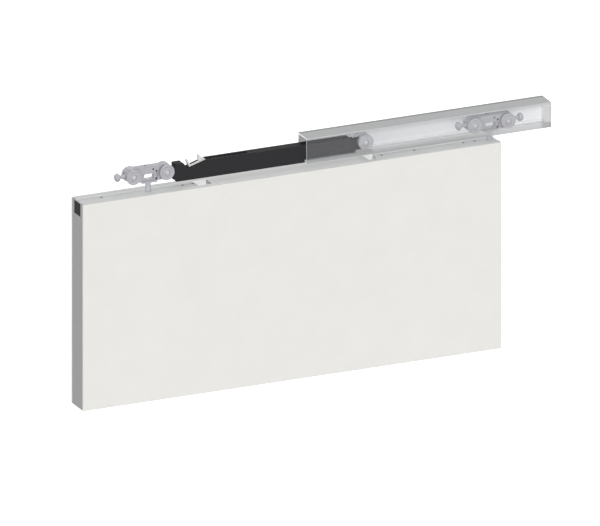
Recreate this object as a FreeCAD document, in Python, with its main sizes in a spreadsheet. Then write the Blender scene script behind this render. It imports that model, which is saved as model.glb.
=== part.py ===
import FreeCAD, Part
import math
import os
import re
import Sketcher

# Sliding gear of a pocket door, shown on a short door panel: an aluminium top track with a
# clear front wall, two four-wheel trolleys that carry the panel on hanger bolts, and a soft-close
# damper with its catch. Millimetres. The origin is the middle of the track's top face, +X runs
# along the track to the right, the front faces -Y and +Z is up.

SIZES = [
    # Top track, an extruded channel with two running ledges and a slot between them
    ("track_length", 368),
    ("track_width", 30),
    ("track_height", 36.5),
    ("track_wall", 2),
    ("track_corner", 1.5),
    ("ledge_thickness", 4.5),
    ("track_slot", 15.2),
    # Door panel, hung below the track
    ("door_gap", 9.5),
    ("door_reach", 107),
    ("door_length", 630),
    ("door_height", 300),
    ("door_thickness", 40),
    ("facing_thickness", 3),
    ("edging_thickness", 2),
    ("head_rail_height", 36),
    # Hanger rails let into the panel's top edge
    ("rail_width", 20),
    ("rail_height", 20),
    ("rail_wall", 2),
    ("rail_lip", 2.5),
    ("rail_slot", 9),
    ("left_rail_length", 176),
    ("right_rail_length", 180),
    ("left_groove_length", 196.4),
    ("right_groove_length", 194),
    ("plug_drop", 0.9),
    ("plug_tongue", 2),
    ("plug_clearance", 0.2),
    ("nut_length", 30),
    ("nut_margin", 5.2),
    ("nut_thickness", 7),
    ("nut_clearance", 0.5),
    ("bolt_radius", 4),
    ("bolt_clearance", 0.05),
    ("bolt_tail", 5),
    # Trolleys
    ("left_trolley_inset", 106.5),
    ("right_trolley_inset", 9.7),
    ("wheelbase", 50),
    ("wheel_radius", 11),
    ("wheel_width", 4.4),
    ("roller_width", 7.2),
    ("wheel_spread", 20.5),
    ("wheel_edge", 0.6),
    ("rim_inner_radius", 8.4),
    ("hub_radius", 4.6),
    ("web_recess", 0.9),
    ("hub_recess", 1.1),
    ("rolling_gap", 0.3),
    ("axle_radius", 2),
    ("axle_head_radius", 3.2),
    ("axle_head_thickness", 0.8),
    ("axle_head_edge", 0.4),
    ("running_clearance", 0.05),
    ("head_clearance", 0.1),
    ("trolley_width", 10.8),
    ("trolley_top", 10.9),
    ("trolley_bottom", 10.3),
    ("trolley_end", 9.5),
    ("trolley_end_round", 9),
    ("boss_length", 24),
    ("boss_drop", 2.4),
    ("boss_round", 1.5),
    ("recess_length", 24),
    ("recess_height", 12),
    ("recess_depth", 1.2),
    ("recess_round", 3),
    ("window_length", 15),
    ("window_height", 8),
    ("window_drop", 3.9),
    ("window_round", 2),
    ("setscrew_radius", 1.3),
    ("setscrew_along", 5.5),
    ("setscrew_up", 6.6),
    ("buffer_neck_radius", 2.5),
    ("buffer_neck_length", 8.8),
    ("buffer_radius", 5.9),
    ("buffer_length", 6.8),
    ("buffer_back_edge", 1.6),
    ("buffer_front_edge", 2.2),
    # Soft-close damper
    ("damper_length", 271.9),
    ("damper_width", 14),
    ("damper_top", 9),
    ("damper_bottom", 16.5),
    ("socket_depth", 8.3),
    ("socket_clearance", 0.3),
    ("hump_length", 12),
    ("notch_run", 6.5),
    ("notch_floor", 2.5),
    ("notch_level", 0.8),
    ("ramp_run", 26.5),
    ("damper_chamfer", 1.5),
    ("damper_step_length", 9),
    ("damper_step_drop", 3.6),
    ("damper_edge", 0.8),
    ("groove_width", 7),
    ("groove_length", 92),
    ("groove_wall", 6),
    ("groove_floor", 5.3),
    ("bracket_width", 5),
    ("bracket_plate", 3.6),
    ("bracket_reach", 11),
    ("bracket_round", 5.5),
    ("roller_offset", 14.1),
    # Catch of the damper, which tilts on a carriage that slides in the damper's groove
    ("catch_width", 6),
    ("catch_sink", 2),
    ("catch_floor", 1.8),
    ("catch_height", 11),
    ("catch_gap", 13.2),
    ("prong_thickness", 2.2),
    ("prong_lean", 1.3),
    ("catch_start", 1.6),
    ("tail_reach", 8),
    ("tail_height", 6.5),
    ("tail_prong_height", 9.6),
    ("tail_prong_lean", 2),
    ("catch_bar", 1.8),
    ("lug_width", 2.4),
    ("lug_radius", 2.6),
    ("pivot_along", 22),
    ("pivot_depth", 6.5),
    ("pivot_radius", 1),
    ("carriage_length", 9),
    ("carriage_width", 6.4),
    ("carriage_above", 3),
    ("carriage_below", 6.2),
    ("carriage_slot", 3),
    ("carriage_slot_depth", 3.4),
]

doc = FreeCAD.newDocument("pocket_door_gear")
sheet = doc.addObject("Spreadsheet::Sheet", "Dims")
for row, (alias, size) in enumerate(SIZES, start=1):
    sheet.set("A%d" % row, alias)
    sheet.set("B%d" % row, str(size))
    sheet.setAlias("B%d" % row, alias)
doc.recompute()

ALIASES = {alias for alias, size in SIZES}
parts = []


def bind(formula):
    """Write the sheet's name before each size that a formula uses."""
    return re.sub(
        r"[a-z][a-z_]+",
        lambda word: "Dims." + word.group() if word.group() in ALIASES else word.group(),
        formula,
    )


def value(formula):
    """The number that a formula gives with the sheet as it stands."""
    return float(sheet.evalExpression(bind(formula)))


def new_body(label):
    """A named sub-part, empty so far."""
    body = doc.addObject("PartDesign::Body", label)
    body.Label = label
    parts.append(body)
    return body


def new_sketch(body, plane, name):
    """A sketch on one of the body's own origin planes."""
    sketch = body.newObject("Sketcher::SketchObject", name)
    support = [item for item in body.Origin.OriginFeatures if item.Role == plane]
    sketch.AttachmentSupport = [(support[0], "")]
    sketch.MapMode = "FlatFace"
    return sketch


def outline(body, plane, corners, name="outline"):
    """A closed outline of straight runs, each corner dimensioned from the origin.

    A corner is (x, y) or (x, y, radius), as formulas; a radius rounds it with a tangent arc.
    """
    sketch = new_sketch(body, plane, name)
    points = [FreeCAD.Vector(value(corner[0]), value(corner[1]), 0) for corner in corners]
    count = len(points)
    starts = list(points)
    ends = list(points)
    arcs = {}
    for index, corner in enumerate(corners):
        if len(corner) < 3:
            continue
        point = points[index]
        before = (points[index - 1] - point).normalize()
        after = (points[(index + 1) % count] - point).normalize()
        radius = value(corner[2])
        half_angle = before.getAngle(after) / 2
        reach = radius / math.tan(half_angle)
        centre = point + (before + after).normalize() * (radius / math.sin(half_angle))
        ends[index] = point + before * reach
        starts[index] = point + after * reach
        left_turn = (before * -1).cross(after).z > 0
        arcs[index] = (centre, radius, left_turn)

    for index in range(count):
        sketch.addGeometry(Part.LineSegment(starts[index], ends[(index + 1) % count]), False)

    constraints = []
    formulas = {}

    def dimension(kind, *where):
        formula = where[-1]
        formulas[len(constraints)] = formula
        constraints.append(Sketcher.Constraint(kind, *where[:-1], value(formula)))

    for index, corner in enumerate(corners):
        line_in = (index - 1) % count
        if index not in arcs:
            constraints.append(Sketcher.Constraint("Coincident", line_in, 2, index, 1))
            dimension("DistanceX", -1, 1, index, 1, corner[0])
            dimension("DistanceY", -1, 1, index, 1, corner[1])
            continue
        centre, radius, left_turn = arcs[index]
        first = ends[index] if left_turn else starts[index]
        last = starts[index] if left_turn else ends[index]
        start_angle = math.atan2(first.y - centre.y, first.x - centre.x)
        end_angle = math.atan2(last.y - centre.y, last.x - centre.x)
        circle = Part.Circle(centre, FreeCAD.Vector(0, 0, 1), radius)
        arc = sketch.addGeometry(Part.ArcOfCircle(circle, start_angle, end_angle), False)
        tip = sketch.addGeometry(Part.Point(points[index]), True)
        arc_in = 1 if left_turn else 2
        arc_out = 2 if left_turn else 1
        constraints.append(Sketcher.Constraint("Tangent", line_in, 2, arc, arc_in))
        constraints.append(Sketcher.Constraint("Tangent", arc, arc_out, index, 1))
        constraints.append(Sketcher.Constraint("PointOnObject", tip, 1, line_in))
        constraints.append(Sketcher.Constraint("PointOnObject", tip, 1, index))
        dimension("DistanceX", -1, 1, tip, 1, corner[0])
        dimension("DistanceY", -1, 1, tip, 1, corner[1])
        dimension("Radius", arc, corner[2])

    sketch.addConstraint(constraints)
    for index, formula in formulas.items():
        sketch.setExpression("Constraints[%d]" % index, bind(formula))
    return sketch


def circle(body, plane, x, y, radius, name="circle"):
    """A sketch of one circle, its centre dimensioned from the origin."""
    sketch = new_sketch(body, plane, name)
    centre = FreeCAD.Vector(value(x), value(y), 0)
    normal = FreeCAD.Vector(0, 0, 1)
    sketch.addGeometry(Part.Circle(centre, normal, value(radius)), False)
    sketch.addConstraint([
        Sketcher.Constraint("DistanceX", -1, 1, 0, 3, centre.x),
        Sketcher.Constraint("DistanceY", -1, 1, 0, 3, centre.y),
        Sketcher.Constraint("Radius", 0, value(radius)),
    ])
    for index, formula in enumerate((x, y, radius)):
        sketch.setExpression("Constraints[%d]" % index, bind(formula))
    return sketch


def pad(body, sketch, length, side="Symmetric"):
    """Extrude a sketch, to both sides of its plane unless told otherwise."""
    feature = body.newObject("PartDesign::Pad", "pad")
    feature.Profile = sketch
    feature.SideType = side
    feature.setExpression("Length", bind(length))
    return feature


def pocket(body, sketch, length):
    """Cut a sketch out of the body, half the length to each side of its plane."""
    feature = body.newObject("PartDesign::Pocket", "pocket")
    feature.Profile = sketch
    feature.SideType = "Symmetric"
    feature.setExpression("Length", bind(length))
    return feature


def revolve(body, sketch, axis):
    """Turn a sketch a full turn about one of its own axes."""
    feature = body.newObject("PartDesign::Revolution", "turned")
    feature.Profile = sketch
    feature.ReferenceAxis = (sketch, [axis])
    feature.Angle = 360
    return feature


def place(body, x="0", y="0", z="0"):
    """Set the body's place by formulas."""
    for axis, formula in zip("xyz", (x, y, z)):
        body.setExpression("Placement.Base." + axis, bind(formula))
    return body


def block(label, x_range, y_range, z_range):
    """A plain board or strip between two planes on each axis."""
    body = new_body(label)
    (x_low, x_high), (y_low, y_high), (z_low, z_high) = x_range, y_range, z_range
    corners = [(x_low, z_low), (x_high, z_low), (x_high, z_high), (x_low, z_high)]
    pad(body, outline(body, "XZ_Plane", corners), "%s - (%s)" % (y_high, y_low))
    return place(body, y="((%s) + (%s)) / 2" % (y_low, y_high))


# Levels and places that several pieces share
DOOR_TOP = "(-track_height - door_gap)"
DOOR_BOTTOM = "(-track_height - door_gap - door_height)"
DOOR_RIGHT = "door_reach"
DOOR_LEFT = "(door_reach - door_length)"
CORE_LEFT = "(door_reach - door_length + edging_thickness)"
CORE_RIGHT = "(door_reach - edging_thickness)"
CORE_BACK = "(door_thickness / 2 - facing_thickness)"
AXLE_LEVEL = "(ledge_thickness + rolling_gap + wheel_radius - track_height)"
TROLLEYS = {
    "left": "(door_reach - door_length + left_trolley_inset)",
    "right": "(door_reach - right_trolley_inset)",
}
TROLLEY_HALF = "(wheelbase / 2 + trolley_end)"
BOSS_FLOOR = "(-trolley_bottom - boss_drop)"
WINDOW_FLOOR = "(-window_drop - window_height / 2)"


# The track: one aluminium extrusion, with its front wall replaced by a clear one so that the gear
# inside can be seen.
def make_track():
    inner = "track_width / 2 - track_wall"
    outer = "track_width / 2"
    lip = "track_slot / 2"
    ledge_top = "ledge_thickness - track_height"
    half_length = "-track_length / 2"

    channel = new_body("track_channel")
    corners = [
        ("-(%s)" % outer, "0"),
        ("-(%s)" % outer, "-track_wall"),
        (inner, "-track_wall", "track_corner"),
        (inner, ledge_top, "track_corner"),
        (lip, ledge_top),
        (lip, "-track_height"),
        (outer, "-track_height"),
        (outer, "0"),
    ]
    pad(channel, outline(channel, "YZ_Plane", corners), "track_length", "One side")
    place(channel, half_length)

    front = new_body("track_front_wall")
    corners = [
        ("-(%s)" % outer, "-track_wall"),
        ("-(%s)" % outer, "-track_height"),
        ("-(%s)" % lip, "-track_height"),
        ("-(%s)" % lip, ledge_top),
        ("-(%s)" % inner, ledge_top, "track_corner"),
        ("-(%s)" % inner, "-track_wall"),
    ]
    pad(front, outline(front, "YZ_Plane", corners), "track_length", "One side")
    place(front, half_length)


# The door panel: a light core under a timber head, faced front and back and edged on three sides.
# The head is glued up from a flat rail, two side laths and a filler between them, which leaves a
# groove at each end, a little longer than the hanger rail that lies in it.
def make_panel():
    core_depth = ("-" + CORE_BACK, CORE_BACK)
    head_floor = DOOR_TOP + " - head_rail_height"
    core_floor = DOOR_BOTTOM + " + edging_thickness"
    half_door = "door_thickness / 2"
    block("door_core", (CORE_LEFT, CORE_RIGHT), core_depth, (core_floor, head_floor))
    block("bottom_edging", (CORE_LEFT, CORE_RIGHT), core_depth, (DOOR_BOTTOM, core_floor))
    block("front_facing", (DOOR_LEFT, DOOR_RIGHT), ("-" + half_door, "-" + CORE_BACK),
          (DOOR_BOTTOM, DOOR_TOP))
    block("back_facing", (DOOR_LEFT, DOOR_RIGHT), (CORE_BACK, half_door),
          (DOOR_BOTTOM, DOOR_TOP))

    groove_floor = DOOR_TOP + " - rail_height"
    half_groove = "rail_width / 2"
    length = (CORE_LEFT, CORE_RIGHT)
    groove_levels = (groove_floor, DOOR_TOP)
    block("head_rail", length, core_depth, (head_floor, groove_floor))
    block("head_front_lath", length, ("-" + CORE_BACK, "-" + half_groove), groove_levels)
    block("head_back_lath", length, (half_groove, CORE_BACK), groove_levels)
    filler_length = (CORE_LEFT + " + left_groove_length", CORE_RIGHT + " - right_groove_length")
    block("head_filler", filler_length, ("-" + half_groove, half_groove), groove_levels)

    ends = {"left": DOOR_LEFT, "right": CORE_RIGHT}
    for side, start in ends.items():
        edging = new_body(side + "_edging")
        corners = [
            ("-" + CORE_BACK, DOOR_BOTTOM),
            (CORE_BACK, DOOR_BOTTOM),
            (CORE_BACK, DOOR_TOP),
            (half_groove, DOOR_TOP),
            (half_groove, groove_floor),
            ("-" + half_groove, groove_floor),
            ("-" + half_groove, DOOR_TOP),
            ("-" + CORE_BACK, DOOR_TOP),
        ]
        pad(edging, outline(edging, "YZ_Plane", corners), "edging_thickness", "One side")
        place(edging, start)


# The hanger rails: C-section rails flush with the panel's top, each closed by a plug at the
# panel's end. A slide nut in each rail takes the hanger bolt of one trolley.
def make_rail(side):
    half = "rail_width / 2"
    cavity = "(rail_width / 2 - rail_wall)"
    lip = "rail_slot / 2"
    floor = DOOR_TOP + " - rail_height"
    starts = {"left": CORE_LEFT, "right": CORE_RIGHT + " - right_rail_length"}
    rail = new_body(side + "_hanger_rail")
    corners = [
        ("-" + half, floor),
        (half, floor),
        (half, DOOR_TOP),
        (lip, DOOR_TOP),
        (lip, DOOR_TOP + " - rail_lip"),
        (cavity, DOOR_TOP + " - rail_lip"),
        (cavity, floor + " + rail_wall"),
        ("-" + cavity, floor + " + rail_wall"),
        ("-" + cavity, DOOR_TOP + " - rail_lip"),
        ("-" + lip, DOOR_TOP + " - rail_lip"),
        ("-" + lip, DOOR_TOP),
        ("-" + half, DOOR_TOP),
    ]
    pad(rail, outline(rail, "YZ_Plane", corners), side + "_rail_length", "One side")
    place(rail, starts[side])

    plug = new_body(side + "_end_plug")
    face_top = DOOR_TOP + " - plug_drop"
    face = [("-" + half, floor), (half, floor), (half, face_top), ("-" + half, face_top)]
    plate = pad(plug, outline(plug, "YZ_Plane", face, "plate"), "edging_thickness", "One side")
    plate.Reversed = side == "left"
    tongue_half = cavity + " - plug_clearance"
    tongue_top = DOOR_TOP + " - rail_lip - plug_clearance"
    tongue_floor = floor + " + rail_wall + plug_clearance"
    corners = [
        ("-(%s)" % tongue_half, tongue_floor),
        (tongue_half, tongue_floor),
        (tongue_half, tongue_top),
        ("-(%s)" % tongue_half, tongue_top),
    ]
    tongue = pad(plug, outline(plug, "YZ_Plane", corners, "tongue"), "plug_tongue", "One side")
    tongue.Reversed = side == "right"
    place(plug, {"left": CORE_LEFT, "right": CORE_RIGHT}[side])


def make_hanger(side):
    trolley_x = TROLLEYS[side]
    nut_top = DOOR_TOP + " - rail_lip"
    nut_half = "(rail_width / 2 - rail_wall - nut_clearance)"
    nut = new_body(side + "_slide_nut")
    outward = {"left": "-", "right": "+"}[side]
    inward = {"left": "+", "right": "-"}[side]
    outer_end = outward + "nut_margin"
    inner_end = inward + "(nut_length - nut_margin)"
    face = [
        (outer_end, "-" + nut_half),
        (inner_end, "-" + nut_half),
        (inner_end, nut_half),
        (outer_end, nut_half),
    ]
    feature = pad(nut, outline(nut, "XY_Plane", face), "nut_thickness", "One side")
    feature.Reversed = True
    bore = circle(nut, "XY_Plane", "0", "0", "bolt_radius + bolt_clearance", "bore")
    pocket(nut, bore, "4 * nut_thickness")
    place(nut, trolley_x, z=nut_top)

    bolt = new_body(side + "_hanger_bolt")
    tail = nut_top + " - nut_thickness - bolt_tail"
    head = AXLE_LEVEL + " + " + WINDOW_FLOOR
    chamfer = "bolt_radius / 5"
    profile = [
        ("0", tail),
        ("bolt_radius - " + chamfer, tail),
        ("bolt_radius", "%s + %s" % (tail, chamfer)),
        ("bolt_radius", head),
        ("0", head),
    ]
    revolve(bolt, outline(bolt, "XZ_Plane", profile), "V_Axis")
    place(bolt, trolley_x)


# The trolleys: a cast body with a see-through window, two axles with a wheel at each end, and a
# mushroom buffer on both ends.
def make_wheel(label, side, x, width="wheel_width"):
    sign = {"front": "-", "back": ""}[side]
    bore = "axle_radius + running_clearance"
    inner = "(wheel_spread / 2 - %s)" % width
    outer = "(wheel_spread / 2)"
    wheel = new_body(label)
    profile = [
        (bore, inner),
        ("wheel_radius - wheel_edge", inner),
        ("wheel_radius", inner + " + wheel_edge"),
        ("wheel_radius", outer + " - wheel_edge"),
        ("wheel_radius - wheel_edge", outer),
        ("rim_inner_radius", outer),
        ("rim_inner_radius", outer + " - hub_recess - web_recess"),
        ("hub_radius", outer + " - hub_recess - web_recess"),
        ("hub_radius", outer + " - hub_recess"),
        (bore, outer + " - hub_recess"),
    ]
    corners = [(radius, sign + "(%s)" % along) for radius, along in profile]
    revolve(wheel, outline(wheel, "XY_Plane", corners), "V_Axis")
    place(wheel, x, z=AXLE_LEVEL)


def make_axle(label, x):
    hub_face = "(wheel_spread / 2 - hub_recess + head_clearance)"
    end = hub_face + " + axle_head_thickness"
    axle = new_body(label)
    profile = [
        ("0", "-(%s)" % end),
        ("axle_head_radius - axle_head_edge", "-(%s)" % end),
        ("axle_head_radius", "axle_head_edge - (%s)" % end),
        ("axle_head_radius", "-" + hub_face),
        ("axle_radius", "-" + hub_face),
        ("axle_radius", hub_face),
        ("axle_head_radius", hub_face),
        ("axle_head_radius", end + " - axle_head_edge"),
        ("axle_head_radius - axle_head_edge", end),
        ("0", end),
    ]
    revolve(axle, outline(axle, "XY_Plane", profile), "V_Axis")
    place(axle, x, z=AXLE_LEVEL)


def make_trolley(side):
    centre = TROLLEYS[side]
    body = new_body(side + "_trolley_body")
    half_boss = "boss_length / 2"
    corners = [
        ("-" + TROLLEY_HALF, "-trolley_bottom", "trolley_end_round"),
        ("-" + half_boss, "-trolley_bottom"),
        ("-" + half_boss, BOSS_FLOOR, "boss_round"),
        (half_boss, BOSS_FLOOR, "boss_round"),
        (half_boss, "-trolley_bottom"),
        (TROLLEY_HALF, "-trolley_bottom", "trolley_end_round"),
        (TROLLEY_HALF, "trolley_top", "trolley_end_round"),
        ("-" + TROLLEY_HALF, "trolley_top", "trolley_end_round"),
    ]
    pad(body, outline(body, "XZ_Plane", corners), "trolley_width")
    through = "2 * trolley_width"
    half_recess = "recess_length / 2"
    recess_top = "(recess_height / 2 - window_drop)"
    recess_floor = "(-recess_height / 2 - window_drop)"
    recess = [
        ("-" + half_recess, recess_floor, "recess_round"),
        (half_recess, recess_floor, "recess_round"),
        (half_recess, recess_top, "recess_round"),
        ("-" + half_recess, recess_top, "recess_round"),
    ]
    pocket(body, outline(body, "XZ_Plane", recess, "recess"), through)
    pad(body, outline(body, "XZ_Plane", recess, "web"), "trolley_width - 2 * recess_depth")
    half_window = "window_length / 2"
    window_top = "(window_height / 2 - window_drop)"
    window = [
        ("-" + half_window, WINDOW_FLOOR, "window_round"),
        (half_window, WINDOW_FLOOR, "window_round"),
        (half_window, window_top, "window_round"),
        ("-" + half_window, window_top, "window_round"),
    ]
    pocket(body, outline(body, "XZ_Plane", window, "window"), through)
    setscrew = circle(body, "XZ_Plane", "setscrew_along", "setscrew_up", "setscrew_radius", "setscrew")
    pocket(body, setscrew, through)
    axle_hole = "axle_radius + running_clearance"
    for end, x in {"left": "-wheelbase / 2", "right": "wheelbase / 2"}.items():
        pocket(body, circle(body, "XZ_Plane", x, "0", axle_hole, end + "_axle_hole"), through)
    bolt_hole = circle(body, "XY_Plane", "0", "0", "bolt_radius + bolt_clearance", "bolt_hole")
    bolt_hole.setExpression("AttachmentOffset.Base.z", bind(BOSS_FLOOR))
    pocket(body, bolt_hole, "2 * (%s - %s)" % (WINDOW_FLOOR, BOSS_FLOOR))
    place(body, centre, z=AXLE_LEVEL)

    for end, sign in {"left": "-", "right": "+"}.items():
        axle_x = "%s %s wheelbase / 2" % (centre, sign)
        name = "%s_trolley_%s" % (side, end)
        make_axle(name + "_axle", axle_x)
        for face in ("front", "back"):
            make_wheel("%s_%s_wheel" % (name, face), face, axle_x)
        buffer = new_body(name + "_buffer")
        neck = "buffer_neck_length"
        tip = "(buffer_neck_length + buffer_length)"
        profile = [
            ("0", "0"),
            (sign + tip, "0"),
            (sign + tip, "buffer_radius - buffer_front_edge"),
            (sign + "(%s - buffer_front_edge)" % tip, "buffer_radius"),
            (sign + "(%s + buffer_back_edge)" % neck, "buffer_radius"),
            (sign + neck, "buffer_radius - buffer_back_edge"),
            (sign + neck, "buffer_neck_radius"),
            ("0", "buffer_neck_radius"),
        ]
        revolve(buffer, outline(buffer, "XZ_Plane", profile), "H_Axis")
        place(buffer, "%s %s %s" % (centre, sign, TROLLEY_HALF), z=AXLE_LEVEL)


# The soft-close damper: a long moulded housing that drops over the left trolley's buffer, with a
# notch and a ramp for the catch, and a pair of rollers on a bracket at its far end.
DAMPER_X = "(%s + %s + buffer_neck_length + buffer_length / 2 - socket_depth)" % (
    TROLLEYS["left"], TROLLEY_HALF)
NOTCH_X = "(hump_length + notch_run)"
RAMP_X = "(hump_length + notch_run + notch_floor)"
RAMP_ANGLE = "atan((damper_top - notch_level) / ramp_run)"


def make_damper():
    housing = new_body("damper_housing")
    corners = [
        ("damper_chamfer", "-damper_bottom"),
        ("damper_length", "-damper_bottom", "damper_edge"),
        ("damper_length", "damper_top - damper_step_drop", "damper_edge"),
        ("damper_length - damper_step_length", "damper_top - damper_step_drop"),
        ("damper_length - damper_step_length", "damper_top"),
        (RAMP_X + " + ramp_run", "damper_top"),
        (RAMP_X, "notch_level"),
        (NOTCH_X, "notch_level"),
        ("hump_length", "damper_top", "damper_edge"),
        ("0", "damper_top", "damper_edge"),
        ("0", "damper_chamfer - damper_bottom"),
    ]
    pad(housing, outline(housing, "XZ_Plane", corners), "damper_width")

    ball = "(buffer_radius + socket_clearance)"
    ball_half = "(buffer_length / 2 + socket_clearance)"
    below = "-2 * damper_bottom"
    socket = [
        ("socket_depth - " + ball_half, below),
        ("socket_depth + " + ball_half, below),
        ("socket_depth + " + ball_half, ball),
        ("socket_depth - " + ball_half, ball),
    ]
    pocket(housing, outline(housing, "XZ_Plane", socket, "socket"), "2 * " + ball)
    neck = "(buffer_neck_radius + socket_clearance)"
    mouth = [
        ("-socket_depth", below),
        ("socket_depth", below),
        ("socket_depth", neck),
        ("-socket_depth", neck),
    ]
    pocket(housing, outline(housing, "XZ_Plane", mouth, "mouth"), "2 * " + neck)
    groove_start = "(socket_depth + %s + groove_wall)" % ball_half
    groove = [
        (groove_start, "-groove_floor"),
        (groove_start + " + groove_length", "-groove_floor"),
        (groove_start + " + groove_length", "2 * damper_top"),
        (groove_start, "2 * damper_top"),
    ]
    pocket(housing, outline(housing, "XZ_Plane", groove, "groove"), "groove_width")
    place(housing, DAMPER_X, z=AXLE_LEVEL)

    roller_x = DAMPER_X + " + damper_length + roller_offset"
    bracket = new_body("damper_end_bracket")
    plate_top = "(bracket_plate - damper_bottom)"
    foot = [
        ("-roller_offset", "-damper_bottom"),
        ("bracket_reach", "-damper_bottom", "bracket_plate / 3"),
        ("bracket_reach", plate_top, "bracket_plate / 3"),
        ("-roller_offset", plate_top),
    ]
    pad(bracket, outline(bracket, "XZ_Plane", foot, "foot"), "damper_width")
    lug = [
        ("-roller_offset", "-damper_bottom"),
        ("bracket_round", "-damper_bottom"),
        ("bracket_round", "bracket_round", "bracket_round"),
        ("-roller_offset", "bracket_round"),
    ]
    pad(bracket, outline(bracket, "XZ_Plane", lug, "lug"), "bracket_width")
    hole = circle(bracket, "XZ_Plane", "0", "0", "axle_radius + running_clearance", "axle_hole")
    pocket(bracket, hole, "2 * bracket_width")
    place(bracket, roller_x, z=AXLE_LEVEL)
    make_axle("roller_axle", roller_x)
    for face in ("front", "back"):
        make_wheel("roller_%s_wheel" % face, face, roller_x, "roller_width")


# The catch: two prongs joined by a bar at the front, which lie on the ramp and tilt on a pin. The
# pin sits in a small carriage that slides along the damper's groove.
def make_catch():
    base_x = DAMPER_X + " + " + RAMP_X
    base_z = AXLE_LEVEL + " + notch_level"
    catch = new_body("damper_catch")
    end = "(catch_start + 2 * prong_thickness + catch_gap)"
    tail = end + " + tail_reach"
    tail_prong = end + " + tail_prong_lean"
    lug_left = "pivot_along - lug_radius"
    lug_right = "pivot_along + lug_radius"
    lug_floor = "-pivot_depth - lug_radius"
    corners = [
        ("catch_start", "-catch_sink"),
        (tail + " - catch_sink", "-catch_sink"),
        (tail, "0"),
        (tail_prong, "tail_height"),
        (tail_prong, "tail_prong_height", "prong_thickness / 3"),
        (tail_prong + " - prong_thickness", "tail_prong_height", "prong_thickness / 3"),
        (end + " - prong_thickness", "catch_floor"),
        ("catch_start + prong_thickness", "catch_floor"),
        ("catch_start + prong_thickness - prong_lean", "catch_height", "prong_thickness / 3"),
        ("catch_start - prong_lean", "catch_height", "prong_thickness / 3"),
    ]
    pad(catch, outline(catch, "XZ_Plane", corners), "catch_width")
    gap_left = "catch_start + prong_thickness"
    gap_right = end + " - prong_thickness"
    gap_front = "catch_bar - catch_width / 2"
    gap = [
        (gap_left, gap_front),
        (gap_right, gap_front),
        (gap_right, "catch_width"),
        (gap_left, "catch_width"),
    ]
    pocket(catch, outline(catch, "XY_Plane", gap, "gap"), "4 * catch_height")
    lug = [
        (lug_left, lug_floor, "lug_radius * 0.9"),
        (lug_right, lug_floor, "lug_radius * 0.9"),
        (lug_right, "0"),
        (lug_left, "0"),
    ]
    pad(catch, outline(catch, "XZ_Plane", lug, "lug"), "lug_width")
    bore = circle(catch, "XZ_Plane", "pivot_along", "-pivot_depth",
                  "pivot_radius + running_clearance", "pivot_hole")
    pocket(catch, bore, "2 * catch_width")
    place(catch, base_x, z=base_z)
    catch.Placement.Rotation = FreeCAD.Rotation(FreeCAD.Vector(0, -1, 0), value(RAMP_ANGLE))
    catch.setExpression("Placement.Rotation.Angle", bind(RAMP_ANGLE))

    pivot_x = "%s + pivot_along * cos(%s) + pivot_depth * sin(%s)" % (base_x, RAMP_ANGLE, RAMP_ANGLE)
    pivot_z = "%s + pivot_along * sin(%s) - pivot_depth * cos(%s)" % (base_z, RAMP_ANGLE, RAMP_ANGLE)
    carriage = new_body("catch_carriage")
    half = "carriage_length / 2"
    corners = [
        ("-" + half, "-carriage_below"),
        (half, "-carriage_below"),
        (half, "carriage_above"),
        ("-" + half, "carriage_above"),
    ]
    pad(carriage, outline(carriage, "XZ_Plane", corners), "carriage_width")
    slot = [
        ("-carriage_length", "-carriage_slot_depth"),
        ("carriage_length", "-carriage_slot_depth"),
        ("carriage_length", "2 * carriage_above"),
        ("-carriage_length", "2 * carriage_above"),
    ]
    pocket(carriage, outline(carriage, "XZ_Plane", slot, "slot"), "carriage_slot")
    bore = circle(carriage, "XZ_Plane", "0", "0", "pivot_radius + running_clearance", "pin_hole")
    pocket(carriage, bore, "2 * carriage_width")
    place(carriage, pivot_x, z=pivot_z)

    pin = new_body("catch_pin")
    pad(pin, circle(pin, "XZ_Plane", "0", "0", "pivot_radius"), "carriage_width")
    place(pin, pivot_x, z=pivot_z)


make_track()
make_panel()
for side in ("left", "right"):
    make_rail(side)
    make_hanger(side)
    make_trolley(side)
make_damper()
make_catch()
doc.recompute()

for item in doc.Objects:
    if "Invalid" in item.State or "Error" in item.State:
        raise RuntimeError("%s did not compute: %s" % (item.Label, item.State))
for part in parts:
    if part.Shape.isNull() or not part.Shape.isValid() or len(part.Shape.Solids) != 1:
        raise RuntimeError("%s is not one valid solid" % part.Label)

os.makedirs("parts", exist_ok=True)
for part in parts:
    part.Shape.exportStep("parts/%s.step" % part.Label)
print("%d sub-parts written" % len(parts))
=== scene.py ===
import math

import bmesh
import bpy
from mathutils import Matrix, Vector


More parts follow.
